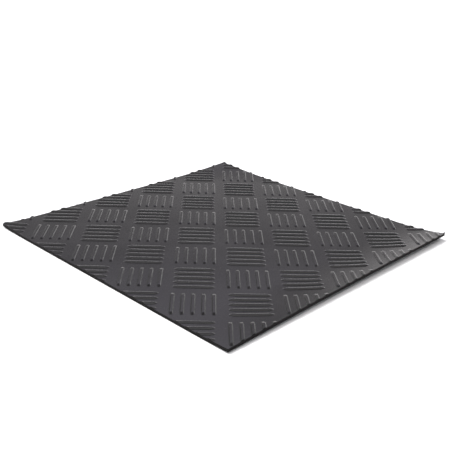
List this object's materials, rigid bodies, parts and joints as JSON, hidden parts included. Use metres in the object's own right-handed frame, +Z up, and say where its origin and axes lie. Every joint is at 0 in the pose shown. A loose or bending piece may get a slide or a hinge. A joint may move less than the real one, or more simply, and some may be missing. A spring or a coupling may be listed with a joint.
{
  "type": "rubber checker plate sheet",
  "caption": "Square piece of black rubber floor sheet with raised bars in alternating groups on top and a flat underside.",
  "frame": {"origin": "centre of the underside, on the floor", "axes": "+X and +Y along the cut edges, with the lifted edge at +X; +Z up out of the raised bars"},
  "size_m": [0.25, 0.25, 0.0068],
  "materials": {
    "black_rubber": "satin moulded rubber, matt on the cut edges"
  },
  "bodies": {
    "root": {"checker_sheet": "black_rubber"}
  },
  "joints": []
}
